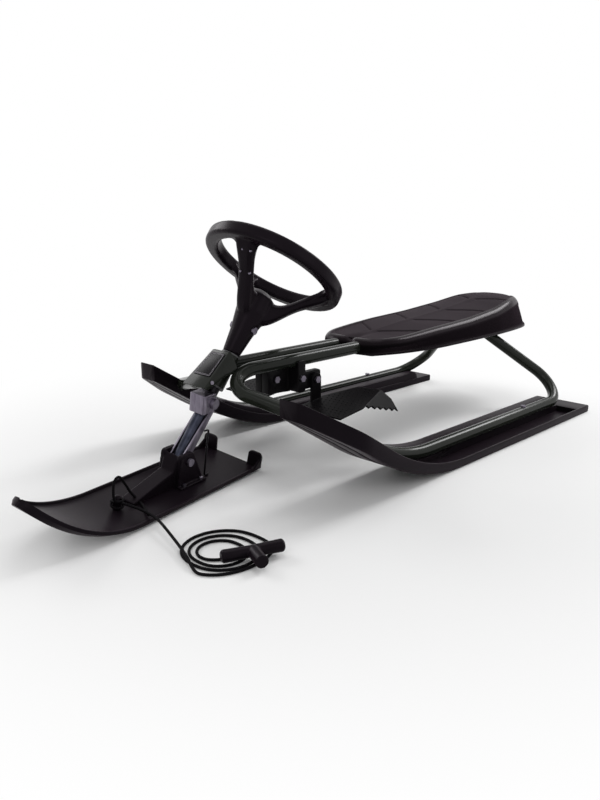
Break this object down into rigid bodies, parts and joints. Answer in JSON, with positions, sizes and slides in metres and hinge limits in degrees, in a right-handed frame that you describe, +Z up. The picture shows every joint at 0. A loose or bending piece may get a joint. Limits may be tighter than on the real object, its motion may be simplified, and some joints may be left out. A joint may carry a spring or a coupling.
{
  "type": "steering sled",
  "caption": "Snow sled with a steering wheel, a short pivoting front ski, two runners on bent tube frames, a moulded seat, brake pedals and a tow rope.",
  "frame": {"origin": "on the floor under the middle of the sled's box, the tow rope apart", "axes": "+X ahead, +Y to the rider's left, +Z up"},
  "size_m": [1.2118, 0.5348, 0.4018],
  "materials": {
    "runner_plastic": "satin moulded polyethylene, plum black",
    "seat_plastic": "satin moulded plastic, plum black",
    "wheel_plastic": "satin moulded plastic, black",
    "housing_plastic": "moulded plastic, black",
    "frame_paint": "semi-gloss powder coat, dark green grey",
    "pedal_paint": "semi-gloss powder coat, black",
    "zinc": "bright zinc plate",
    "strut_zinc": "dark zinc plate",
    "black_steel": "blackened steel",
    "bush_nylon": "moulded nylon, dark grey",
    "panel_film": "gloss film, bare",
    "rope_fibre": "braided cord, black",
    "grip_plastic": "moulded plastic, black"
  },
  "bodies": {
    "frame": {"runner_left": "runner_plastic", "runner_right": "runner_plastic", "frame_tube_left": "frame_paint", "frame_tube_right": "frame_paint", "tube_sleeves": "frame_paint", "runner_screws": "zinc", "seat_shell": "seat_plastic", "seat_bracket_rear": "frame_paint", "seat_bracket_front": "frame_paint", "seat_screws": "zinc", "bracket_rivets": "zinc", "head_tube": "frame_paint", "head_bush_upper": "bush_nylon", "head_bush_lower": "bush_nylon", "head_hood": "frame_paint", "label_panel": "panel_film", "hood_rivets": "zinc", "brake_housing_left": "housing_plastic", "brake_housing_right": "housing_plastic", "housing_bolts": "zinc"},
    "brake_bar": {"brake_axle": "zinc", "brake_pedal_left": "pedal_paint", "brake_pedal_right": "pedal_paint", "axle_bolts": "zinc", "brake_spring": "black_steel"},
    "steering": {"steering_wheel": "wheel_plastic", "steering_shaft": "black_steel", "wheel_bolt": "zinc", "wheel_nut": "zinc", "fork_bracket": "zinc", "strut_tube": "strut_zinc", "fork_channel": "zinc", "fork_bolt": "zinc", "fork_nut": "zinc"},
    "ski": {"front_ski": "runner_plastic", "ski_saddle": "runner_plastic", "saddle_screws": "zinc", "pivot_bolt": "zinc", "pivot_nut": "zinc", "ski_spring": "black_steel", "rope_post": "runner_plastic", "tow_rope": "rope_fibre", "tow_rope_coil": "rope_fibre", "rope_knot": "rope_fibre", "pull_handle": "grip_plastic"}
  },
  "joints": [
    {"name": "steer", "type": "hinge", "parent": "frame", "child": "steering", "pos_m": [0.36206, 0, 0], "axis": [-0.5948, 0, 0.8039], "range_deg": [-50, 20]},
    {"name": "ski_pitch", "type": "hinge", "parent": "steering", "child": "ski", "pos_m": [0.32223, 0, 0.05383], "axis": [-0.2081, 0.9659, -0.154], "range_deg": [-20, 15]},
    {"name": "brake", "type": "hinge", "parent": "frame", "child": "brake_bar", "pos_m": [0.06906, 0, 0.141], "axis": [0, -1, 0], "range_deg": [0, 38], "stiffness_Nm_per_rad": 2, "springref_deg": -34.38}
  ]
}
